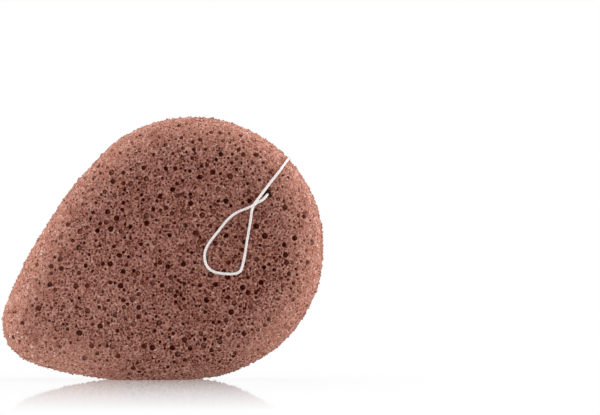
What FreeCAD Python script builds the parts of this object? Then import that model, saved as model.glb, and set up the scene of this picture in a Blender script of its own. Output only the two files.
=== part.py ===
"""Drop-shaped konjac sponge, standing on its lower flank, with a cotton hanging loop.

Millimetres and degrees. +X runs to the right along the floor, +Y from the front face to
the back and +Z up. The origin is on the floor, under the middle of the foam's box.
"""
import FreeCAD, Part
import math
import os

from FreeCAD import Vector

# The foam drop: a small round tip and a large blunt end, joined by two convex flanks
DROP_LENGTH = 83.8
TIP_RADIUS = 10.4
BLUNT_RADIUS = 32.3
UPPER_FLANK_RADIUS = 113.7
LOWER_FLANK_RADIUS = 90.0
DROP_LEAN_ANGLE = 26.8
FOAM_THICKNESS = 30.0
CROWN_RISE = 2.3
CROWN_TOP_SHARE = 0.75
CROWN_LEVELS = 3
EDGE_ROUNDING = 9.5
EDGE_ROUNDING_ANGLE = 80.0
EDGE_ROUNDING_STEPS = 6
FOOT_FLAT_DEPTH = 0.5

# The stitch hole, placed from the blunt end's outline and centre
STITCH_INSET = 8.4
STITCH_ANGLE = 35.8
STITCH_CLEARANCE = 0.1
STITCH_MOUTH_DEPTH = 1.4
STITCH_MOUTH_FLARE = 0.5

# The cotton string: how it lies on the foam, crosses itself and goes over the edge
STRING_DIAMETER = 0.9
STRING_SIDES = 8
STRING_REST_GAP = 0.3
STRING_CROSSING_GAP = 0.5
STITCH_BEND_RADIUS = 1.0
STITCH_SETBACK = 1.3
EDGE_CROSSING_ANGLE = 42.8
LOOP_HANG_ANGLE = -118.5
PIVOT_GAP = 0.2
PIVOT_HEADROOM = 0.1

# The knot on the back and its two cut ends
KNOT_DROP = 3.4
KNOT_LENGTH = 3.6
KNOT_CORE_DIAMETER = 2.8
KNOT_WRAPS = 3
KNOT_WRAP_PITCH = 0.9
KNOT_WRAP_TILT = 14.0
KNOT_STRAND_SPACING = 1.3
KNOT_STRAND_DEPTH = 0.4
KNOT_LEAD = 1.4

# Limits: the rounding against the tip and the wall, the bends of the string against their
# runs, and the test of the loop's gap to itself
TIP_ROUNDING_SHARE = 0.92
WALL_ROUNDING_SHARE = 0.95
BEND_RUN_SHARE = 0.45
GAP_TEST_SPACING = 0.25
GAP_TEST_NEIGHBOURS = 16

# The loop as it hangs: distance down from the pivot, distance across to the right, and
# lift above the foam, from the strand of the edge round to the strand of the stitch hole
CROSSING_LIFT = STRING_DIAMETER + STRING_CROSSING_GAP
LOOP_ROUTE = [
    (2.3, -1.4, CROSSING_LIFT),
    (5.0, -1.2, CROSSING_LIFT),
    (8.0, -0.4, 0.5),
    (11.7, 0.8, 0.0),
    (15.5, 2.2, 0.0),
    (18.1, 3.0, 0.0),
    (19.6, 3.3, 0.0),
    (20.7, 2.7, 0.0),
    (21.6, 1.3, 0.0),
    (22.4, -0.5, 0.0),
    (23.0, -2.3, 0.0),
    (22.8, -4.2, 0.0),
    (21.4, -5.8, 0.0),
    (19.3, -6.7, 0.0),
    (17.0, -6.7, 0.0),
    (14.0, -6.1, 0.0),
    (10.5, -5.6, 0.0),
    (7.7, -4.5, 0.0),
    (5.2, -2.6, 0.0),
    (2.8, -0.9, 0.0),
    (1.2, -0.1, 0.0),
]

# The cut ends below the knot: further down, across from the knot's middle, lift
LONG_TAIL_ROUTE = [(3.0, -1.2, 0.4), (4.8, -1.9, 0.1), (6.6, -2.1, 0.0)]
SHORT_TAIL_ROUTE = [(2.8, 1.3, 0.4), (4.2, 2.3, 0.1), (5.3, 3.5, 0.0)]


def direction(angle):
    """Unit vector in the plane of the face, at an angle up from +X."""
    return Vector(math.cos(math.radians(angle)), 0, math.sin(math.radians(angle)))


def flank_centre(tip, blunt, flank_radius, side):
    """Centre of the arc that touches both end circles from outside, bulging to one side."""
    to_tip = flank_radius - TIP_RADIUS
    to_blunt = flank_radius - BLUNT_RADIUS
    span = (blunt - tip).Length
    along = (to_tip ** 2 - to_blunt ** 2 + span ** 2) / (2 * span)
    aside = math.sqrt(to_tip ** 2 - along ** 2)
    axis = (blunt - tip).normalize()
    bulge = Vector(-axis.z, 0, axis.x) * side
    return tip + axis * along - bulge * aside


def drop_outline(inset, share, height):
    """Closed outline of the drop: two ends and two flanks, all tangent. It lies a distance
    inside the widest outline, is shrunk to a share of that about the crown's top, and stands
    at a height from the middle plane."""
    def corner(flank, flank_radius, end):
        return flank + (end - flank).normalize() * (flank_radius - inset)

    def arc(start, through, end):
        placed = [crown_top + (point - crown_top) * share for point in (start, through, end)]
        return Part.Arc(*[Vector(point.x, height, point.z) for point in placed]).toShape()

    def flank_arc(flank, flank_radius):
        tip_corner = corner(flank, flank_radius, tip_centre)
        blunt_corner = corner(flank, flank_radius, blunt_centre)
        middle = ((tip_corner + blunt_corner) * 0.5 - flank).normalize()
        return arc(tip_corner, flank + middle * (flank_radius - inset), blunt_corner)

    tip_up = corner(upper_flank, UPPER_FLANK_RADIUS, tip_centre)
    tip_low = corner(lower_flank, LOWER_FLANK_RADIUS, tip_centre)
    blunt_up = corner(upper_flank, UPPER_FLANK_RADIUS, blunt_centre)
    blunt_low = corner(lower_flank, LOWER_FLANK_RADIUS, blunt_centre)
    return Part.Wire([
        flank_arc(upper_flank, UPPER_FLANK_RADIUS),
        arc(blunt_up, blunt_centre + long_axis * (BLUNT_RADIUS - inset), blunt_low),
        flank_arc(lower_flank, LOWER_FLANK_RADIUS),
        arc(tip_low, tip_centre - long_axis * (TIP_RADIUS - inset), tip_up),
    ])


# Where the two end circles stand: the lower flank is lowest, and the box is centred on x = 0
long_axis = direction(DROP_LEAN_ANGLE)
centre_span = DROP_LENGTH - TIP_RADIUS - BLUNT_RADIUS
tip_at_origin = Vector(0, 0, 0)
blunt_from_tip = tip_at_origin + long_axis * centre_span
foot_centre = flank_centre(tip_at_origin, blunt_from_tip, LOWER_FLANK_RADIUS, -1)
lowest = foot_centre.z - LOWER_FLANK_RADIUS
leftmost = tip_at_origin.x - TIP_RADIUS
rightmost = blunt_from_tip.x + BLUNT_RADIUS
tip_centre = Vector(-(leftmost + rightmost) / 2, 0, -lowest - FOOT_FLAT_DEPTH)
blunt_centre = tip_centre + long_axis * centre_span
foot_middle = tip_centre.x + foot_centre.x

upper_flank = flank_centre(tip_centre, blunt_centre, UPPER_FLANK_RADIUS, 1)
lower_flank = flank_centre(tip_centre, blunt_centre, LOWER_FLANK_RADIUS, -1)

# The edges are rounded from the wall to the rim of the crown, which rises to the face's middle
sweep = math.radians(EDGE_ROUNDING_ANGLE)
rim_height = FOAM_THICKNESS / 2 - CROWN_RISE
largest_at_wall = WALL_ROUNDING_SHARE * rim_height / math.sin(sweep)
edge_rounding = min(EDGE_ROUNDING, TIP_ROUNDING_SHARE * TIP_RADIUS, largest_at_wall)
wall_height = rim_height - edge_rounding * math.sin(sweep)
rim_inset = edge_rounding * (1 - math.cos(sweep))
crown_top = tip_centre + (blunt_centre - tip_centre) * CROWN_TOP_SHARE
flat_share = 1 / (CROWN_LEVELS + 1)
rim_outline = drop_outline(rim_inset, 1, 0)


def crown_height(share):
    """Height of the crown from the middle plane, at a share of the way from its top to its rim."""
    fall = (max(share, flat_share) ** 2 - flat_share ** 2) / (1 - flat_share ** 2)
    return FOAM_THICKNESS / 2 - CROWN_RISE * fall


def face_height(x, z):
    """Height of the crowned face from the middle plane, carried on past the rim."""
    from_top = Vector(x - crown_top.x, 0, z - crown_top.z)
    outward = Vector(from_top).normalize() * DROP_LENGTH
    ray = Part.LineSegment(crown_top, crown_top + outward).toShape()
    rim_point = ray.distToShape(rim_outline)[1][0][0]
    return crown_height(from_top.Length / (rim_point - crown_top).Length)


# Points of the string that the foam settles
hang = direction(LOOP_HANG_ANGLE)
across = Vector(-hang.z, 0, hang.x)
string_rest = STRING_DIAMETER / 2 + STRING_REST_GAP
stitch = blunt_centre + direction(STITCH_ANGLE) * (BLUNT_RADIUS - STITCH_INSET)
pivot = stitch + hang * STITCH_SETBACK
edge_outward = direction(EDGE_CROSSING_ANGLE)
edge_crossing = blunt_centre + edge_outward * BLUNT_RADIUS


def beside_pivot(down, aside, lift, side):
    """Point of the string's middle line on the front (side -1) or the back (side 1)."""
    at = pivot + hang * down + across * aside
    at.y = side * (face_height(at.x, at.z) + string_rest + lift)
    return at


def rounded_path(points, radii=None):
    """Straight runs joined by tangent arcs. Each arc is as large as its two runs allow,
    unless a radius is given for that point."""
    radii = radii or {}
    edges = []
    used = []
    start = points[0]
    for index in range(1, len(points) - 1):
        corner = points[index]
        back = points[index - 1] - corner
        ahead = points[index + 1] - corner
        shorter = min(back.Length, ahead.Length)
        half_turn = (math.pi - back.getAngle(ahead)) / 2
        largest = BEND_RUN_SHARE * shorter / math.tan(half_turn)
        radius = radii.get(index, largest)
        reach = radius * math.tan(half_turn)
        back.normalize()
        ahead.normalize()
        inward = (back + ahead).normalize()
        into = corner + back * reach
        out_of = corner + ahead * reach
        middle = corner + inward * (radius / math.cos(half_turn) - radius)
        edges.append(Part.LineSegment(start, into).toShape())
        edges.append(Part.Arc(into, middle, out_of).toShape())
        used.append(radius)
        start = out_of
    edges.append(Part.LineSegment(start, points[-1]).toShape())
    return Part.Wire(edges), used


def string_section(centre, along):
    """Section of the string, with flat sides inside its round diameter."""
    turned = FreeCAD.Rotation(Vector(0, 0, 1), along)
    corners = []
    for side in range(STRING_SIDES):
        angle = 2 * math.pi * side / STRING_SIDES
        corner = Vector(math.cos(angle), math.sin(angle), 0) * (STRING_DIAMETER / 2)
        corners.append(centre + turned.multVec(corner))
    return Part.makePolygon(corners + corners[:1])


def string_tube(name, points, radii=None):
    """A stretch of string: its section swept along its path, with its volume tested."""
    path, used = rounded_path(points, radii)
    section = string_section(points[0], points[1] - points[0])
    tube = path.makePipeShell([section], True, False)
    share = tube.Volume / (Part.Face(section).Area * path.Length)
    print(f"{name}: length {path.Length:.2f} mm, volume {share:.4f} of section x length")
    print("  bend radii", " ".join(f"{radius:.1f}" for radius in used))
    return tube, path


def least_self_gap(path):
    """Least gap between stretches of one tube that are not next to each other."""
    points = path.discretize(Number=int(path.Length / GAP_TEST_SPACING))
    least = min(
        first.distanceToPoint(second)
        for index, first in enumerate(points)
        for second in points[index + GAP_TEST_NEIGHBOURS:]
    )
    return least - STRING_DIAMETER


def face_outlines(side):
    """Outlines of one half of the foam: from the wall round the edge, then up the crown."""
    outlines = []
    for step in range(EDGE_ROUNDING_STEPS + 1):
        angle = sweep * step / EDGE_ROUNDING_STEPS
        inset = edge_rounding * (1 - math.cos(angle))
        height = wall_height + edge_rounding * math.sin(angle)
        outlines.append(drop_outline(inset, 1, side * height))
    for level in range(CROWN_LEVELS):
        share = 1 - (level + 1) * flat_share
        outlines.append(drop_outline(rim_inset, share, side * crown_height(share)))
    return outlines


def foam_drop():
    """The foam: a loft over its outlines, cut flat at the foot, with the stitch hole."""
    foam = Part.makeLoft(face_outlines(-1)[::-1] + face_outlines(1), True, True)
    reach = 2 * DROP_LENGTH
    below_floor = Part.makeBox(reach, reach, reach, Vector(-reach / 2, -reach / 2, -reach))
    foam = foam.cut(below_floor)
    hole_radius = STRING_DIAMETER / 2 + STITCH_CLEARANCE
    hole = Part.makeCylinder(hole_radius, reach, stitch - Vector(0, reach / 2, 0), Vector(0, 1, 0))
    foam = foam.cut(hole)
    mouth_at = face_height(stitch.x, stitch.z)
    slope = STITCH_MOUTH_FLARE / STITCH_MOUTH_DEPTH
    for side in (-1, 1):
        bottom = Vector(stitch.x, side * (mouth_at - STITCH_MOUTH_DEPTH), stitch.z)
        wide = hole_radius + slope * 2 * STITCH_MOUTH_DEPTH
        mouth = Part.makeCone(hole_radius, wide, 2 * STITCH_MOUTH_DEPTH, bottom, Vector(0, side, 0))
        foam = foam.cut(mouth)
    return foam


# Corners of the string over the edge, before the rounding: front and back
edge_bend_radius = edge_rounding + string_rest
over_edge = edge_crossing + edge_outward * string_rest
edge_height = face_height(edge_crossing.x, edge_crossing.z) + string_rest
edge_front = Vector(over_edge.x, -edge_height, over_edge.z)
edge_back = Vector(over_edge.x, edge_height, over_edge.z)

# The two places where the loop's strands cross the pivot line
first_loop_point = beside_pivot(*LOOP_ROUTE[0], -1)
last_loop_point = beside_pivot(*LOOP_ROUTE[-1], -1)
stitch_front = Vector(stitch.x, -face_height(stitch.x, stitch.z) - string_rest, stitch.z)
stitch_back = Vector(stitch.x, -stitch_front.y, stitch.z)


def on_pivot_line(outside, inside):
    """Point where the run from the fixed strand to the loop crosses the pivot plane."""
    before = (outside - pivot).dot(hang)
    after = (inside - pivot).dot(hang)
    return outside + (inside - outside) * (-before / (after - before))


edge_meet = on_pivot_line(edge_front, first_loop_point)
stitch_meet = on_pivot_line(stitch_front, last_loop_point)

# The knot: its ends are square to the hang direction, and its wraps clear the foam
knot_outer_radius = KNOT_CORE_DIAMETER / 2 + STRING_DIAMETER / 2
knot_aside = (edge_meet - pivot).dot(across) / 2
knot_top = pivot + hang * KNOT_DROP + across * knot_aside
knot_end = knot_top + hang * KNOT_LENGTH
knot_height = face_height(knot_end.x, knot_end.z) + STRING_REST_GAP + knot_outer_radius
knot_top.y = knot_height
knot_end.y = knot_height
strand_below_axis = Vector(0, -KNOT_STRAND_DEPTH, 0)


def knot_port(end, side):
    """Where a strand meets an end of the knot, to the left (side -1) or right (side 1)."""
    return end + across * (side * KNOT_STRAND_SPACING / 2) + strand_below_axis


def back_knot():
    """An overhand knot drawn tight: a core of two strands with the wraps round it."""
    knot = Part.makeCylinder(KNOT_CORE_DIAMETER / 2, KNOT_LENGTH, knot_top, hang)
    middle = (knot_top + knot_end) * 0.5
    lean = math.sin(math.radians(KNOT_WRAP_TILT))
    for wrap in range(KNOT_WRAPS):
        step = wrap - (KNOT_WRAPS - 1) / 2
        place = middle + hang * (step * KNOT_WRAP_PITCH)
        axis = (hang + Vector(0, lean, 0) + across * (lean * step)).normalize()
        outward = across.cross(axis).cross(axis).normalize()
        section = string_section(place + outward * (KNOT_CORE_DIAMETER / 2), axis.cross(outward))
        ring = Part.Face(section).revolve(place, axis, 360)
        knot = knot.fuse(ring)
    return knot.removeSplitter()


def tail_points(route, side):
    """Middle line of a cut end, from the knot down to where it lies on the back."""
    start = knot_port(knot_end, side)
    knot_bottom_down = KNOT_DROP + KNOT_LENGTH
    points = [start, start + hang * KNOT_LEAD]
    for down, aside, lift in route:
        points.append(beside_pivot(knot_bottom_down + down, knot_aside + aside, lift, 1))
    return points


os.makedirs("parts", exist_ok=True)

foam = foam_drop()
foam.exportStep("parts/sponge_body.step")

loop_start = edge_meet + (first_loop_point - edge_meet).normalize() * PIVOT_GAP
loop_end = stitch_meet + (last_loop_point - stitch_meet).normalize() * PIVOT_GAP
loop_points = [loop_start] + [beside_pivot(*point, -1) for point in LOOP_ROUTE] + [loop_end]
loop, loop_path = string_tube("hanging_loop", loop_points)
print(f"  least gap to itself {least_self_gap(loop_path):.2f} mm")
loop.exportStep("parts/hanging_loop.step")

left_port = knot_port(knot_top, -1)
left_lead = left_port - hang * KNOT_LEAD
edge_points = [edge_meet, edge_front, edge_back, left_lead, left_port]
edge_strand, edge_path = string_tube("edge_strand", edge_points, {1: edge_bend_radius, 2: edge_bend_radius})
edge_strand.exportStep("parts/edge_strand.step")

right_port = knot_port(knot_top, 1)
right_lead = right_port - hang * KNOT_LEAD
stitch_points = [stitch_meet, stitch_front, stitch_back, right_lead, right_port]
stitch_strand, stitch_path = string_tube(
    "stitch_strand", stitch_points, {1: STITCH_BEND_RADIUS, 2: STITCH_BEND_RADIUS})
stitch_strand.exportStep("parts/stitch_strand.step")

knot = back_knot()
knot.exportStep("parts/back_knot.step")

for name, route, side in (("long_tail", LONG_TAIL_ROUTE, -1), ("short_tail", SHORT_TAIL_ROUTE, 1)):
    tail, tail_path = string_tube(name, tail_points(route, side))
    tail.exportStep(f"parts/{name}.step")

loop_middle = loop_path.BoundBox.Center

# The pivot line lies just above the tops of both strands where they cross it
strand_tops = [-point.y + STRING_DIAMETER / 2 for point in (edge_meet, stitch_meet)]
pivot_height = max(strand_tops) + PIVOT_HEADROOM
box = foam.BoundBox
print(f"foam box {box.XLength:.2f} x {box.YLength:.2f} x {box.ZLength:.2f} mm, volume {foam.Volume:.0f} mm3")
print(f"foam x {box.XMin:.2f} to {box.XMax:.2f}, z {box.ZMin:.2f} to {box.ZMax:.2f}, foot at x {foot_middle:.2f}")
print(f"crown at the middle of the loop {face_height(loop_middle.x, loop_middle.z):.2f} mm")
print(f"pivot at {pivot.x:.3f}, {-pivot_height:.3f}, {pivot.z:.3f}, along {-across.x:.4f}, 0, {-across.z:.4f}")
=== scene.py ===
import math

import bpy
import numpy as np
import openvdb
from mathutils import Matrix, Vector


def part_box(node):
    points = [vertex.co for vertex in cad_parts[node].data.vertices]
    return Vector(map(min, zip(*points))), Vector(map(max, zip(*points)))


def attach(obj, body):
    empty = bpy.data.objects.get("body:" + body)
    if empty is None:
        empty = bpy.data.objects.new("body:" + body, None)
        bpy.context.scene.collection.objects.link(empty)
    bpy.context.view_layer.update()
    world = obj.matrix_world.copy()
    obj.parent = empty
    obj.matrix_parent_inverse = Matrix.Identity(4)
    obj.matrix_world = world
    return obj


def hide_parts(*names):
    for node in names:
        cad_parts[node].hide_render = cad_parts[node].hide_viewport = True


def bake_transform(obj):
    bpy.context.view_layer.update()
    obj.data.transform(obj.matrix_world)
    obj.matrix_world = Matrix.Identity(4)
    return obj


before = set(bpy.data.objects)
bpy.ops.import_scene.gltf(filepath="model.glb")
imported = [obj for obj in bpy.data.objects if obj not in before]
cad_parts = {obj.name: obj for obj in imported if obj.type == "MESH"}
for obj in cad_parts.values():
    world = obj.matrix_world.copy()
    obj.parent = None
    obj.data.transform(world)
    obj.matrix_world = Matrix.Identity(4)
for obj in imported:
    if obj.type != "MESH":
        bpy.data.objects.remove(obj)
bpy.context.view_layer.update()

# The foam drop
# One moulded block of konjac fibre foam, dried and springy, open-celled all through. It has
# crowned faces and rounded edges, and stands pressed a little flat on its lower flank. A stitch
# hole for the string goes through it near the blunt end.
foam_low, foam_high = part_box("sponge_body")
drop_length = 0.0838
drop_lean = math.radians(26.8)
tip_radius = 0.0104
blunt_radius = 0.0323
upper_flank_radius = 0.1137
lower_flank_radius = 0.0900
half_thickness = 0.0150
crown_rise = 0.0023
crown_top_share = 0.75
crown_full_share = 0.25
edge_rounding = 0.0095
rounding_sweep = math.radians(80)
stitch_inset = 0.0084
stitch_angle = math.radians(35.8)
stitch_setback = 0.0013
hang_angle = math.radians(-118.5)

long_axis = np.array((math.cos(drop_lean), math.sin(drop_lean)))
short_axis = np.array((-long_axis[1], long_axis[0]))
blunt_centre = np.array((foam_high.x - blunt_radius, foam_high.z - blunt_radius))
tip_centre = blunt_centre - long_axis * (drop_length - tip_radius - blunt_radius)
crown_top = tip_centre + (blunt_centre - tip_centre) * crown_top_share
rim_height = half_thickness - crown_rise
wall_height = rim_height - edge_rounding * math.sin(rounding_sweep)
rim_inset = edge_rounding * (1 - math.cos(rounding_sweep))
stitch_outward = np.array((math.cos(stitch_angle), math.sin(stitch_angle)))
hang = np.array((math.cos(hang_angle), math.sin(hang_angle)))
pivot = blunt_centre + stitch_outward * (blunt_radius - stitch_inset) + hang * stitch_setback


def flank_inset(x, z, flank_radius, side):
    """How far a point lies inside both ends and one flank, the upper (side 1) or lower (side -1)."""
    to_tip = flank_radius - tip_radius
    to_blunt = flank_radius - blunt_radius
    span = np.linalg.norm(blunt_centre - tip_centre)
    along = (to_tip ** 2 - to_blunt ** 2 + span ** 2) / (2 * span)
    aside = math.sqrt(to_tip ** 2 - along ** 2)
    centre = tip_centre + long_axis * along - short_axis * side * aside
    tip_ray = tip_centre - centre
    blunt_ray = blunt_centre - centre
    past_tip = side * (tip_ray[0] * (z - centre[1]) - tip_ray[1] * (x - centre[0])) > 0
    past_blunt = side * ((x - centre[0]) * blunt_ray[1] - (z - centre[1]) * blunt_ray[0]) > 0
    in_tip = tip_radius - np.hypot(x - tip_centre[0], z - tip_centre[1])
    in_blunt = blunt_radius - np.hypot(x - blunt_centre[0], z - blunt_centre[1])
    in_flank = flank_radius - np.hypot(x - centre[0], z - centre[1])
    return np.where(past_tip, in_tip, np.where(past_blunt, in_blunt, in_flank))


def inset(x, z):
    """How far a point lies inside the drop's outline."""
    above_axis = (z - tip_centre[1]) * long_axis[0] - (x - tip_centre[0]) * long_axis[1] > 0
    upper = flank_inset(x, z, upper_flank_radius, 1)
    lower = flank_inset(x, z, lower_flank_radius, -1)
    return np.where(above_axis, upper, lower)


def crown_height(x, z):
    """Height of the crowned face from the middle plane, over outlines shrunk about its top.

    The outline's share at a point is found by halving the range that it lies in.
    """
    least_share = 0.01
    most_share = 4.0
    halvings = 24
    least = least_share + 0 * x
    most = most_share + 0 * x
    for _ in range(halvings):
        share = (least + most) / 2
        full_x = crown_top[0] + (x - crown_top[0]) / share
        full_z = crown_top[1] + (z - crown_top[1]) / share
        outside = inset(full_x, full_z) < rim_inset
        least = np.where(outside, share, least)
        most = np.where(outside, most, share)
    fall = (share ** 2 - crown_full_share ** 2) / (1 - crown_full_share ** 2)
    return half_thickness - crown_rise * fall


def face_height(x, z):
    """Height of the foam's skin from the middle plane, rounded down to the wall at the edge."""
    far_in = inset(x, z)
    depth = np.clip(far_in, 0, rim_inset)
    rounded = wall_height + np.sqrt(edge_rounding ** 2 - (edge_rounding - depth) ** 2)
    return np.where(far_in < rim_inset, rounded, crown_height(x, z))


def smooth_step(low, high, value):
    """Runs smoothly from 0 to 1 while a value goes from low to high."""
    share = np.clip((value - low) / (high - low), 0, 1)
    return share * share * (3 - 2 * share)


# The skin as a field of distances on a fine grid, below zero inside the foam.
voxel = 0.00025
margin = 0.0015
origin = np.array(foam_low) - margin
counts = np.ceil((np.array(foam_high) + margin - origin) / voxel).astype(int)
xs, ys, zs = [origin[axis] + voxel * np.arange(counts[axis]) for axis in range(3)]
grid_x = xs[:, None, None]
grid_y = ys[None, :, None]
grid_z = zs[None, None, :]
flat_x, flat_z = np.meshgrid(xs, zs, indexing="ij")
flat_inset = inset(flat_x, flat_z)
flat_crown = crown_height(flat_x, flat_z)
slope_x, slope_z = np.gradient(flat_crown, voxel)
steep = 1 / np.sqrt(1 + slope_x ** 2 + slope_z ** 2)
off_middle = np.abs(grid_y)
grid_inset = flat_inset[:, None, :]
edge_skin = np.hypot(edge_rounding - grid_inset, off_middle - wall_height) - edge_rounding
wall_skin = np.where(off_middle > wall_height, edge_skin, -grid_inset)
face_skin = (off_middle - flat_crown[:, None, :]) * steep[:, None, :]
skin = np.where(grid_inset < rim_inset, wall_skin, face_skin).astype(np.float32)

# The skin is a little uneven, the string has drawn it in round the stitch hole, and the foot is
# pressed flat on the table.
random_seed = 11
lump_waves = 14
lump_length = 0.0045
lump_height = 0.00003
dimple_depth = 0.0003
dimple_reach = 0.0022
generator = np.random.default_rng(random_seed)
for _ in range(lump_waves):
    bend = generator.normal(size=3) / lump_length
    start = generator.uniform(0, 2 * np.pi)
    phase = bend[0] * grid_x + bend[1] * grid_y + bend[2] * grid_z + start
    skin += (lump_height * np.sin(phase)).astype(np.float32)
from_stitch = np.hypot(flat_x - pivot[0], flat_z - pivot[1])[:, None, :]
skin += (dimple_depth * np.exp(-(from_stitch / dimple_reach) ** 2)).astype(np.float32)
below_floor = -grid_z.astype(np.float32)
skin = np.maximum(skin, below_floor)

# The stitch hole widens to a mouth at the skin.
hole_radius = 0.00052
mouth_radius = 0.00085
mouth_depth = 0.0012
mouth = np.clip(1 + skin / mouth_depth, 0, 1) ** 2
hole = from_stitch - hole_radius - (mouth_radius - hole_radius) * mouth
foam = np.maximum(skin, -hole).astype(np.float32)

# What the material needs to know of the cells: how far off the nearest open one is, a random number
# for it, how deep its floor lies, and how far off the nearest one under a film is.
cells = hole.astype(np.float32)
cell_randoms = np.zeros_like(foam)
floors = np.full_like(foam, half_thickness)
films = np.full_like(foam, half_thickness)


def ball(centre, radius):
    """The part of the grid round a ball, and how far each of its places lies outside the ball."""
    steps_below = 2
    steps_above = 4
    low = np.maximum(((centre - radius - origin) / voxel).astype(int) - steps_below, 0)
    high = np.minimum(((centre + radius - origin) / voxel).astype(int) + steps_above, counts)
    window = tuple(slice(first, last) for first, last in zip(low, high))
    x = grid_x[window[0]] - centre[0]
    y = grid_y[:, window[1]] - centre[1]
    z = grid_z[:, :, window[2]] - centre[2]
    return window, (np.sqrt(x * x + y * y + z * z) - radius).astype(np.float32)


def near_skin(number, least, most, highest, lowest):
    """Random places between two heights from the skin, and a size for each, more small than large."""
    small_bias = 1.5
    shell = np.argwhere((skin < highest) & (skin > lowest))
    picks = shell[generator.integers(0, len(shell), number)]
    centres = origin + voxel * (picks + generator.random((number, 3)) - 0.5)
    return centres, least + (most - least) * generator.random(number) ** small_bias


def open_cell(centre, size):
    """Opens one round cell, and notes for the places near it a random number and how deep its floor
    lies.
    """
    window, away = ball(centre, size)
    closer = away < cells[window]
    foam[window] = np.maximum(foam[window], -away)
    cells[window][closer] = away[closer]
    cell_randoms[window][closer] = generator.random()
    floors[window][closer] = size - skin[tuple(((centre - origin) / voxel).astype(int))]


def open_cells(taken, number, least, most, highest, lowest, rim_share, cell_wall):
    """Opens round cells near the skin, fewer on the rounded shoulder and none inside a taken one."""
    shoulder_start = (0.0002, 0.0015)
    shoulder_end = (0.001, 0.006)
    centres, sizes = near_skin(number, least, most, highest, lowest)
    far_in = inset(centres[:, 0], centres[:, 2])
    on_shoulder = smooth_step(*shoulder_start, far_in) * (1 - smooth_step(*shoulder_end, far_in))
    wanted = generator.random(number) < 1 - (1 - rim_share) * on_shoulder
    found = np.zeros((len(taken) + number, 4))
    found[:len(taken)] = taken
    count = len(taken)
    for index in np.argsort(-sizes):
        gaps = np.linalg.norm(found[:count, :3] - centres[index], axis=1) - found[:count, 3]
        if wanted[index] and gaps.min() > sizes[index] + cell_wall:
            found[count] = (*centres[index], sizes[index])
            count += 1
    for cell in found[len(taken):count]:
        open_cell(cell[:3], cell[3])
    return found[:count]


# Tips of broken cell walls stand up from the skin, a few all over it and many along its outline.
burr_number = 12000
burrs_all_over = 3500
burr_edge_width = 0.0025
burr_least = 0.00020
burr_most = 0.00034
burr_height = 0.00008
burrs, burr_sizes = near_skin(burr_number, burr_least, burr_most, burr_height, -burr_height)
at_edge = inset(burrs[:, 0], burrs[:, 2]) < burr_edge_width
standing = (np.arange(burr_number) < burrs_all_over) | at_edge
for centre, size in zip(burrs[standing], burr_sizes[standing]):
    window, away = ball(centre, size)
    foam[window] = np.minimum(foam[window], away)
foam = np.maximum(foam, below_floor)

# Open cells: first one beside the stitch hole, where the string goes in, then large, middling and
# small ones. Each kind has a number to try, the least and most radius, the highest and lowest
# place from the skin, the share that the shoulder gets, and the least wall between cells.
stitch_pore_radius = 0.0006
stitch_pore_offset = np.array((0.0003, 0.0011))
stitch_pore_depth = 0.0004
stitch_pore_x, stitch_pore_z = pivot + stitch_pore_offset
stitch_pore_y = stitch_pore_depth - float(face_height(stitch_pore_x, stitch_pore_z))
stitch_pore = np.array((stitch_pore_x, stitch_pore_y, stitch_pore_z))
open_cell(stitch_pore, stitch_pore_radius)
bubbles = np.array(((*stitch_pore, stitch_pore_radius),))
for number, least, most, highest, lowest, rim_share, cell_wall in (
    (1900, 0.00043, 0.00074, 0.00030, -0.00040, 0.15, 0.00045),
    (3600, 0.00030, 0.00048, 0.00015, -0.00030, 0.20, 0.00008),
    (8000, 0.00026, 0.00040, 0.00018, -0.00010, 0.45, 0.00008),
):
    bubbles = open_cells(bubbles, number, least, most, highest, lowest, rim_share, cell_wall)

# Some cells stay closed under a thin film of skin and only show through it.
film_number = 900
film_least = 0.00070
film_most = 0.00105
film_highest = -0.0006
film_lowest = -0.0009
for centre, size in zip(*near_skin(film_number, film_least, film_most, film_highest, film_lowest)):
    window, away = ball(centre, size)
    films[window] = np.minimum(films[window], away)

grid = openvdb.FloatGrid()
grid.copyFromArray(foam)
points, quads = grid.convertToQuads(isovalue=0.0)

# Only the outer skin with the cells that open into it is kept: closed cells inside can't be seen.
# Each point takes the lowest number among its neighbours until every connected part has one.
owner = np.arange(len(points))
settled = False
while not settled:
    joined = owner.copy()
    np.minimum.at(joined, quads.ravel(), np.repeat(owner[quads].min(axis=1), quads.shape[1]))
    joined = joined[joined]
    settled = np.array_equal(joined, owner)
    owner = joined
outer = owner == np.bincount(owner).argmax()
renumbered = np.cumsum(outer) - 1
quads = renumbered[quads[outer[quads[:, 0]]]]
points = points[outer]


def sample(field):
    """A field's value at each point of the mesh, between the grid's eight nearest values."""
    base = np.clip(np.floor(points).astype(int), 0, counts - 2)
    share = points - base
    total = 0
    for corner in np.ndindex(2, 2, 2):
        weight = np.prod(np.where(corner, share, 1 - share), axis=1)
        total = total + weight * field[tuple((base + corner).T)]
    return total


def put(name, data):
    """Puts a new object into the scene."""
    made = bpy.data.objects.new(name, data)
    bpy.context.scene.collection.objects.link(made)
    return made


places = origin + voxel * points
foam_mesh = bpy.data.meshes.new("foam_drop")
foam_mesh.from_pydata(places.tolist(), [], quads[:, ::-1].tolist())
foam_mesh.shade_smooth()
sponge = put("foam_drop", foam_mesh)
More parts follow.
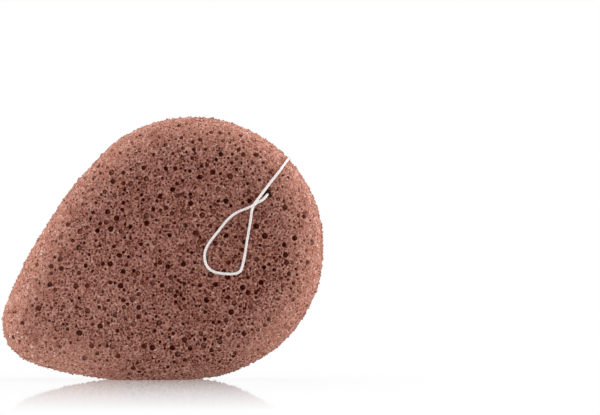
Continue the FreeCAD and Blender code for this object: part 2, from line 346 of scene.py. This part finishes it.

# Painted light: the colour is made paler where light comes through the foam where it is thin. It is
# palest along the outline and round the tip, less so in the middle of the wall, and least on the
# underside, where less light falls.
rim_start = -0.002
rim_reach = 0.0130
rim_in_wall = 0.35
wall_start = 0.001
wall_end = 0.008
underside_slope = 0.80
underside_loss = 0.75
thin_tip_reach = 3 * tip_radius
thin_tip_gain = 0.28
columns = np.round(points[:, (0, 2)]).astype(int)
rise = np.gradient(flat_inset, voxel, axis=1)[tuple(columns.T)]
underside = smooth_step(underside_slope, 1.0, rise)
from_tip = np.hypot(places[:, 0] - tip_centre[0], places[:, 2] - tip_centre[1])
thin_tip = 1 - smooth_step(tip_radius, thin_tip_reach, from_tip)
rim_glow = 1 - smooth_step(rim_start, rim_reach, inset(places[:, 0], places[:, 2]))
off_wall = smooth_step(wall_start, wall_end, np.abs(places[:, 1]))
rim_glow = rim_glow * (rim_in_wall + (1 - rim_in_wall) * off_wall)

# What each point of the mesh tells the material.
# The lip round an open cell is marked so that the material can paint a highlight on it.
lip_width = 0.00030
lip_depth = 0.0002
film_fade = 0.00015
depth = -sample(skin)
near_cell = np.clip(1 - np.abs(sample(cells)) / lip_width, 0, 1)
for name, values in (
    ("pore_depth", depth),
    ("pore_floor", np.clip(depth / sample(floors), 0, 1)),
    ("pore_random", sample(cell_randoms)),
    ("pore_lip", near_cell * np.clip(1 - depth / lip_depth, 0, 1)),
    ("film", np.clip(1 - sample(films) / film_fade, 0, 1)),
    ("rim", rim_glow * (1 - underside_loss * underside * (1 - thin_tip)) + thin_tip_gain * thin_tip),
):
    attribute = foam_mesh.attributes.new(name, "FLOAT", "POINT")
    attribute.data.foreach_set("value", values.astype(np.float32))


class Shade:
    """A socket of a node tree, so that shader maths reads as plain arithmetic."""

    def __init__(self, tree, socket=None):
        self.tree = tree
        self.socket = socket

    def node(self, kind, inputs, output=0, **settings):
        """Adds a node of any kind, fills its inputs and returns one of its outputs."""
        made = self.tree.nodes.new(kind)
        for name, value in settings.items():
            setattr(made, name, value)
        for place, value in inputs.items():
            if isinstance(value, Shade):
                self.tree.links.new(value.socket, made.inputs[place])
            else:
                made.inputs[place].default_value = value
        return Shade(self.tree, made.outputs[output])

    def __add__(self, other):
        return self.node("ShaderNodeMath", {0: self, 1: other}, operation="ADD")

    def __sub__(self, other):
        return self.node("ShaderNodeMath", {0: self, 1: other}, operation="SUBTRACT")

    def __rsub__(self, other):
        return self.node("ShaderNodeMath", {0: other, 1: self}, operation="SUBTRACT")

    def __mul__(self, other):
        return self.node("ShaderNodeMath", {0: self, 1: other}, operation="MULTIPLY")

    __radd__ = __add__
    __rmul__ = __mul__


def new_finish(name):
    """A new material, with its node tree, its main shader and the place on the piece."""
    finish = bpy.data.materials.new(name)
    finish.use_nodes = True
    tree = Shade(finish.node_tree)
    shader = finish.node_tree.nodes["Principled BSDF"]
    return finish, tree, shader, tree.node("ShaderNodeTexCoord", {}, "Object")


def feed(shader, place, value):
    """Links a value that varies to one of a shader's sockets."""
    value.tree.links.new(value.socket, shader.inputs[place])


def ramp(value, low, high):
    """Runs smoothly from 0 to 1 while a value goes from low to high."""
    return value.node("ShaderNodeMapRange", {0: value, 1: low, 2: high}, interpolation_type="SMOOTHSTEP")


def mixed(share, first, second):
    """A colour between two colours. A Mix node's colours are its inputs 6 and 7 and its output 2."""
    return share.node("ShaderNodeMix", {0: share, 6: first, 7: second}, 2, data_type="RGBA")


def cloudy(spot, scale, detail):
    """Soft random values, about a half on average."""
    return spot.node("ShaderNodeTexNoise", {"Vector": spot, "Scale": scale, "Detail": detail})


def speckled(spot, scale):
    """How far off the nearest of many scattered specks is, and a random number for that speck."""
    away, tint = [
        spot.node("ShaderNodeTexVoronoi", {"Vector": spot, "Scale": scale}, output)
        for output in ("Distance", "Color")]
    return away, spot.node("ShaderNodeSeparateColor", {0: tint}, "Red")


# Colours of the foam, in the middle of a face and at the rim. The rim colours are paler with painted
# light that comes through thin foam, the two darkest are painted shade inside the cells, and the
# palest is for painted glints.
cell_shade = (0.050, 0.004, 0.002, 1)
pore_red = (0.190, 0.050, 0.030, 1)
face_middle = (0.212, 0.077, 0.055, 1)
rim_middle = (0.420, 0.175, 0.125, 1)
face_light = (0.420, 0.208, 0.165, 1)
rim_light = (0.700, 0.440, 0.365, 1)
glint_pale = (0.880, 0.760, 0.710, 1)
foam_roughness = 0.62
foam_shine = 0.02

# Texture finer than the mesh: dots of the smallest cells darkened as painted shade, ridges between
# them, pale painted glints, grain, blotches and broad patches. Scales are repeats in a metre.
dot_scale = 1850.0
dot_edge = (0.14, 0.40)
dot_share = (0.10, 0.80)
ridge_edge = (0.40, 0.80)
glint_scale = 900.0
glint_edge = (0.10, 0.28)
glint_share = (0.66, 0.80)
glint_rim_chance = 0.20
grain_scale = 2600.0
grain_detail = 2.0
blotch_scale = 1700.0
blotch_detail = 1.0
patch_scale = 220.0
patch_detail = 3.0
average = 0.5
outline_edge = (0.70, 0.95)
konjac, foam_tree, foam_shader, foam_spot = new_finish("konjac_foam")
pore, pore_floor, pore_random, lip, film, rim = [
    foam_tree.node("ShaderNodeAttribute", {}, "Fac", attribute_name=name)
    for name in ("pore_depth", "pore_floor", "pore_random", "pore_lip", "film", "rim")]
dot_away, dot_chance = speckled(foam_spot, dot_scale)
glint_away, glint_chance = speckled(foam_spot, glint_scale)
grain = cloudy(foam_spot, grain_scale, grain_detail)
blotch = cloudy(foam_spot, blotch_scale, blotch_detail)
patch = cloudy(foam_spot, patch_scale, patch_detail)
outline = ramp(rim, *outline_edge)
dot = (1 - ramp(dot_away, *dot_edge)) * ramp(dot_chance, *dot_share)
ridge = ramp(dot_away, *ridge_edge)
glint_chance = glint_chance + outline * glint_rim_chance
glint = (1 - ramp(glint_away, *glint_edge)) * ramp(glint_chance, *glint_share)

# Tone of the skin between the pores, dark at 0 and light at 1, with less texture near the rim.
base_tone = 0.35
ridge_amount = 0.30
dot_amount = 0.66
patch_amount = 0.20
lip_amount = 0.22
film_amount = 0.22
film_blotch = (0.35, 0.60)
calm_edge = (0.10, 0.60)
calm_amount = 0.50
calm = 1 - calm_amount * ramp(rim, *calm_edge)
# The dots of the smallest cells are darkened as their painted shade, the ridges between them lighter.
texture = ridge * ridge_amount - dot * dot_amount + (grain - average)
veiled = film * ramp(blotch, *film_blotch)
open_tone = base_tone + texture * calm + (patch - average) * patch_amount
# The lips round the open cells are made paler as a painted highlight.
open_tone = open_tone + lip * lip_amount - veiled * film_amount

# Tone inside the pores: dark with painted shade, with a floor made paler by painted light in about
# a third of them, and paler near the rim by the painted light that comes through thin foam.
pore_edge = (0.00005, 0.00025)
floor_edge = (0.62, 0.95)
floor_share = (0.45, 0.80)
floor_amount = 0.46
pore_blotch = (0.48, 0.62)
pore_blotch_amount = 0.20
pore_rim_amount = 0.42
pore_grain_amount = 0.7
deep = ramp(pore, *pore_edge)
pale_floor = ramp(pore_floor, *floor_edge) * ramp(pore_random, *floor_share)
pore_tone = pale_floor * floor_amount + ramp(blotch, *pore_blotch) * pore_blotch_amount
pore_tone = pore_tone + rim * pore_rim_amount + (grain - average) * pore_grain_amount
tone = open_tone + (pore_tone - open_tone) * deep

# The tone runs from the painted shade of a cell through the middle colour to the light one.
pore_rim_loss = 0.7
dark_steepness = 2.6
light_start = 0.38
light_steepness = 2.4
glint_amount = 0.38
glint_outline_amount = 0.45
# Towards the rim the colours take the painted light that comes through the thin foam.
middle = mixed(rim, face_middle, rim_middle)
light = mixed(rim, face_light, rim_light)
hollow = mixed(deep * (1 - rim * pore_rim_loss), middle, pore_red)
low_tone = mixed(tone * dark_steepness, cell_shade, hollow)
high_tone = mixed((tone - light_start) * light_steepness, low_tone, light)
# Painted glints: pale specks on the skin outside the pores, more of them and brighter along the outline.
glinted = glint * (1 - deep) * (glint_amount + glint_outline_amount * outline)
feed(foam_shader, "Base Color", mixed(glinted, high_tone, glint_pale))

relief_grain = 0.6
relief_depth = 0.00014
relief_strength = 0.7
relief = ridge - dot + grain * relief_grain + glint
foam_bump = foam_tree.node(
    "ShaderNodeBump", {"Height": relief, "Distance": relief_depth, "Strength": relief_strength})
feed(foam_shader, "Normal", foam_bump)
foam_shader.inputs["Roughness"].default_value = foam_roughness
foam_shader.inputs["Specular IOR Level"].default_value = foam_shine
foam_mesh.materials.append(konjac)

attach(sponge, "sponge")
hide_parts("sponge_body")

# The cotton string
# One length of thin white cotton string, three plies twisted. It is threaded through the stitch
# hole and over the blunt end's edge, hangs as a loop on the front and is knotted on the back.
string_radius = 0.00036
string_rest = 0.00046
string_steps = 12
edge_angle = math.radians(42.8)

across = np.array((-hang[1], hang[0]))
edge_outward = np.array((math.cos(edge_angle), math.sin(edge_angle)))
edge_along = np.array((-edge_outward[1], edge_outward[0]))
edge_crossing = blunt_centre + edge_outward * blunt_radius


def on_face(down, aside, lift, side):
    """Point of the string on the front (side -1) or back (side 1), placed from the pivot."""
    x, z = pivot + hang * down + across * aside
    return Vector((x, side * (float(face_height(x, z)) + string_rest + lift), z))


def over_edge(outward, along, y):
    """Point of the string on its way over the edge of the blunt end."""
    x, z = edge_crossing + edge_outward * outward + edge_along * along
    return Vector((x, y, z))


def in_stitch(y):
    """Point of the string in the stitch hole."""
    return Vector((pivot[0], y, pivot[1]))


# The route starts at the long tail on the back and goes up through the knot, over the edge, down
# and round the loop on the front, through the stitch hole, through the knot again to the short tail.
string_route = [
    on_face(0.0136, -0.0027, 0, 1),
    on_face(0.0118, -0.0025, 0.0001, 1),
    on_face(0.0100, -0.0018, 0.0004, 1),
    on_face(0.0080, -0.0012, 0.0009, 1),
    on_face(0.0060, -0.0012, 0.0009, 1),
    on_face(0.0036, -0.0012, 0.0009, 1),
    on_face(0.0010, -0.0011, 0.0002, 1),
    on_face(-0.0030, -0.0007, 0, 1),
    over_edge(-0.0041, -0.0013, 0.0126),
    over_edge(0.0004, 0, 0.0071),
    over_edge(0.0004, 0, -0.0071),
    over_edge(-0.0041, -0.0013, -0.0126),
    on_face(-0.0030, -0.0007, 0, -1),
    on_face(-0.0006, -0.0010, 0.0004, -1),
    on_face(0.0023, -0.0014, 0.0010, -1),
    on_face(0.0048, -0.0017, 0.0010, -1),
    on_face(0.0080, -0.0004, 0.0002, -1),
    on_face(0.0117, 0.0008, 0, -1),
    on_face(0.0155, 0.0022, 0, -1),
    on_face(0.0181, 0.0030, 0, -1),
    on_face(0.0196, 0.0033, 0, -1),
    on_face(0.0207, 0.0027, 0, -1),
    on_face(0.0216, 0.0013, 0, -1),
    on_face(0.0224, -0.0005, 0, -1),
    on_face(0.0230, -0.0023, 0, -1),
    on_face(0.0228, -0.0042, 0, -1),
    on_face(0.0214, -0.0058, 0, -1),
    on_face(0.0193, -0.0067, 0, -1),
    on_face(0.0170, -0.0067, 0, -1),
    on_face(0.0140, -0.0061, 0, -1),
    on_face(0.0105, -0.0056, 0, -1),
    on_face(0.0077, -0.0045, 0, -1),
    on_face(0.0052, -0.0023, 0, -1),
    on_face(0.0028, -0.0009, 0, -1),
    on_face(0.0017, -0.0002, 0, -1),
    on_face(0.0005, 0, -0.0004, -1),
    in_stitch(-0.0118),
    in_stitch(-0.0090),
    in_stitch(0.0090),
    in_stitch(0.0118),
    on_face(0.0004, 0, -0.0003, 1),
    on_face(0.0018, 0.0001, 0.0003, 1),
    on_face(0.0036, 0.0001, 0.0009, 1),
    on_face(0.0060, 0.0001, 0.0009, 1),
    on_face(0.0080, 0.0001, 0.0009, 1),
    on_face(0.0098, 0.0007, 0.0004, 1),
    on_face(0.0112, 0.0017, 0.0001, 1),
    on_face(0.0123, 0.0029, 0, 1),
]


def smooth_line(name, route, steps):
    """Points along the smooth spline that has the route's points as its control points."""
    curve = bpy.data.curves.new(name, "CURVE")
    curve.dimensions = "3D"
    curve.resolution_u = steps
    spline = curve.splines.new("NURBS")
    spline.points.add(len(route) - 1)
    for place, point in zip(spline.points, route):
        place.co = (*point, 1)
    spline.order_u = 3
    spline.use_endpoint_u = True
    holder = bpy.data.objects.new(name, curve)
    mesh = bpy.data.meshes.new_from_object(holder)
    line = np.array([vertex.co for vertex in mesh.vertices])
    bpy.data.meshes.remove(mesh)
    bpy.data.objects.remove(holder)
    return line


def twisted_string(name, line, fray):
    """Plies twisted round a line, as a piece. At the two ends the plies spread by the fray."""
    plies = 3
    sides = 8
    twist_length = 0.0020
    fray_length = 0.0012
    ply_share = 0.53
    ply_radius = ply_share * string_radius
    ply_offset = string_radius - ply_radius
    off_line = (0.3, 0.2, 0.9)
    steps = np.linalg.norm(np.diff(line, axis=0), axis=1)
    far = np.concatenate(([0], np.cumsum(steps)))
    tangent = np.gradient(line, axis=0)
    tangent /= np.linalg.norm(tangent, axis=1)[:, None]
    normal = np.cross(tangent[0], off_line)
    normals = []
    for direction in tangent:
        normal = normal - direction * normal.dot(direction)
        normal /= np.linalg.norm(normal)
        normals.append(normal)
    normals = np.array(normals)
    binormals = np.cross(tangent, normals)
    from_end = np.minimum(far, far[-1] - far)
    spread = ply_offset + fray * np.clip(1 - from_end / fray_length, 0, 1) ** 2
    round_ply = np.linspace(0, 2 * np.pi, sides, endpoint=False)
    vertices = []
    faces = []
    for ply in range(plies):
        turn = far / twist_length * 2 * np.pi + 2 * np.pi * ply / plies
        outward = normals * np.cos(turn)[:, None] + binormals * np.sin(turn)[:, None]
        sideways = np.cross(tangent, outward)
        middle_line = line + outward * spread[:, None]
        rings = (
            middle_line[:, None, :]
            + outward[:, None, :] * (np.cos(round_ply) * ply_radius)[None, :, None]
            + sideways[:, None, :] * (np.sin(round_ply) * ply_radius)[None, :, None]
        )
        vertices.append(rings.reshape(-1, 3))
        first = ply * len(line) * sides
        last = first + (len(line) - 1) * sides
        for ring in range(first, last, sides):
            for side in range(sides):
                here = ring + side
                beside = ring + (side + 1) % sides
                faces.append((here, beside, beside + sides, here + sides))
        faces.append([first + side for side in reversed(range(sides))])
        faces.append([last + side for side in range(sides)])
    mesh = bpy.data.meshes.new(name)
    mesh.from_pydata(np.concatenate(vertices).tolist(), [], faces)
    mesh.shade_smooth()
    return put(name, mesh)


def press(line):
    """Pushes the foam softly away from a string that lies on it, which leaves a shallow groove."""
    clear = 0.00048
    reach = 3 * clear
    sharpness = 4
    batch = 2000
    flat = np.empty(3 * len(foam_mesh.vertices))
    foam_mesh.vertices.foreach_get("co", flat)
    skin_points = flat.reshape(-1, 3)
    low = line.min(axis=0) - reach
    high = line.max(axis=0) + reach
    near = np.flatnonzero(((skin_points > low) & (skin_points < high)).all(axis=1))
    for part in np.array_split(near, 1 + len(near) // batch):
        away = skin_points[part, None, :] - line[None, :, :]
        gaps = np.linalg.norm(away, axis=2)
        closest = gaps.argmin(axis=1)
        rows = np.arange(len(part))
        gap = gaps[rows, closest]
        pushed = (gap ** sharpness + clear ** sharpness) ** (1 / sharpness)
        skin_points[part] = line[closest] + away[rows, closest] * (pushed / gap)[:, None]
    foam_mesh.vertices.foreach_set("co", flat)
    foam_mesh.update()


cut_end_fray = 0.0003
string_line = smooth_line("string_line", string_route, string_steps)
string = twisted_string("cotton_string", string_line, cut_end_fray)
press(string_line)

cotton_shade = (0.75, 0.70, 0.68, 1)
cotton_light = (0.90, 0.86, 0.84, 1)
cotton_roughness = 0.85
fibre_scale = 4000.0
fibre_detail = 3.0
fibre_depth = 0.00006
fibre_strength = 0.5
cotton, cotton_tree, cotton_shader, cotton_spot = new_finish("cotton_string")
fibre = cloudy(cotton_spot, fibre_scale, fibre_detail)
cotton_bump = cotton_tree.node(
    "ShaderNodeBump", {"Height": fibre, "Distance": fibre_depth, "Strength": fibre_strength})
feed(cotton_shader, "Base Color", mixed(fibre, cotton_shade, cotton_light))
feed(cotton_shader, "Normal", cotton_bump)
cotton_shader.inputs["Roughness"].default_value = cotton_roughness
string.data.materials.append(cotton)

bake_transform(string)
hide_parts("hanging_loop", "edge_strand", "stitch_strand", "long_tail", "short_tail")

# The knot
# The two ends of the string are tied together on the back by an overhand knot drawn tight.
# Its wraps lie round both strands, and the cut ends hang out below.
knot_top = 0.0040
knot_aside = -0.00055
knot_lift = 0.0009
knot_pitch = 0.00082
knot_turns = 3
knot_points_per_turn = 8
knot_half_width = 0.00152
knot_half_depth = 0.00090
knot_steps = 8
knot_route = []
for step in range(knot_turns * knot_points_per_turn + 1):
    turn = step / knot_points_per_turn
    sweep = 2 * math.pi * turn
    down = knot_top + knot_pitch * turn
    aside = knot_aside + knot_half_width * math.cos(sweep)
    lift = knot_lift + knot_half_depth * math.sin(sweep)
    knot_route.append(on_face(down, aside, lift, 1))
knot_line = smooth_line("knot_line", knot_route, knot_steps)
knot = twisted_string("string_knot", knot_line, 0)
knot.data.materials.append(cotton)
press(knot_line)

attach(knot, "sponge")
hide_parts("back_knot")

# The table
# A glossy white table top. It mirrors the sponge close to where it stands, and further off it
# fades into plain white.
table_size = 8
mirror_reach = 0.125
table_albedo = 0.545
white_near = 0.8
white_start = 0.045
white_end = 0.11
coat_roughness = 0.04
bpy.ops.mesh.primitive_plane_add(size=table_size, location=(0, 0, 0))
floor = bpy.context.object
floor.name = "floor"
table, table_tree, table_shader, table_spot = new_finish("white_table")
from_middle = table_tree.node("ShaderNodeVectorMath", {0: table_spot}, "Value", operation="LENGTH")
gloss = table_tree.node("ShaderNodeMapRange", {0: from_middle, 1: 0.0, 2: mirror_reach, 3: 1.0, 4: 0.0})
glow = white_near + (1 - white_near) * ramp(from_middle, white_start, white_end)
feed(table_shader, "Base Color", (1 - glow) * table_albedo)
feed(table_shader, "Coat Weight", gloss)
feed(table_shader, "Emission Color", glow)
table_shader.inputs["Roughness"].default_value = 1.0
table_shader.inputs["Specular IOR Level"].default_value = 0.0
table_shader.inputs["Coat Roughness"].default_value = coat_roughness
table_shader.inputs["Emission Strength"].default_value = 1.0
floor.data.materials.append(table)

# The light
# A white studio with even light all round and a wide soft sky lamp overhead. Four square lamps
# are turned to the sponge: above, to the left, to the right and low at the front left.
room_light = 0.40
room_white = (1, 1, 1, 1)
sky_power = 2.2
sky_spread = math.radians(100)
sky_tilt = math.radians(-12)
lamp_target = Vector((0, 0, 0.03))
world = bpy.data.worlds.new("studio")
bpy.context.scene.world = world
world.use_nodes = True
studio = Shade(world.node_tree)
seen, mirrored, passed = [
    studio.node("ShaderNodeLightPath", {}, ray)
    for ray in ("Is Camera Ray", "Is Glossy Ray", "Is Transmission Ray")]
room = world.node_tree.nodes["Background"]
room.inputs["Color"].default_value = room_white
feed(room, "Strength", room_light + (seen + mirrored + passed) * (1 - room_light))

sky = bpy.data.lights.new("sky_lamp", "SUN")
sky.energy = sky_power
sky.angle = sky_spread
sky_holder = put("sky_lamp", sky)
sky_holder.rotation_euler = (sky_tilt, 0, 0)
for name, place, size, power in (
    ("top_lamp", (0.0, 0.15, 0.45), 0.30, 0.9),
    ("left_lamp", (-0.45, -0.10, 0.03), 0.30, 1.6),
    ("right_lamp", (0.50, -0.04, 0.14), 0.30, 2.0),
    ("front_lamp", (-0.45, -0.65, 0.04), 0.40, 1.6),
):
    lamp = bpy.data.lights.new(name, "AREA")
    lamp.size = size
    lamp.energy = power
    lamp_holder = put(name, lamp)
    lamp_holder.location = place
    lamp_holder.rotation_euler = (lamp_target - Vector(place)).to_track_quat("-Z", "Y").to_euler()

# The camera
# It stands low in front, just above the table and a little to the right, and looks up slightly
# at the front face.
camera_place = (0.034, -0.470, 0.0223)
camera_tilt = math.radians(90 + 2.50)
camera = bpy.data.cameras.new("camera")
camera.sensor_width = 36
camera.lens = 112.8
viewer = put("camera", camera)
viewer.location = camera_place
viewer.rotation_euler = (camera_tilt, 0, 0)
bpy.context.scene.camera = viewer
bpy.context.scene.view_settings.view_transform = "Standard"
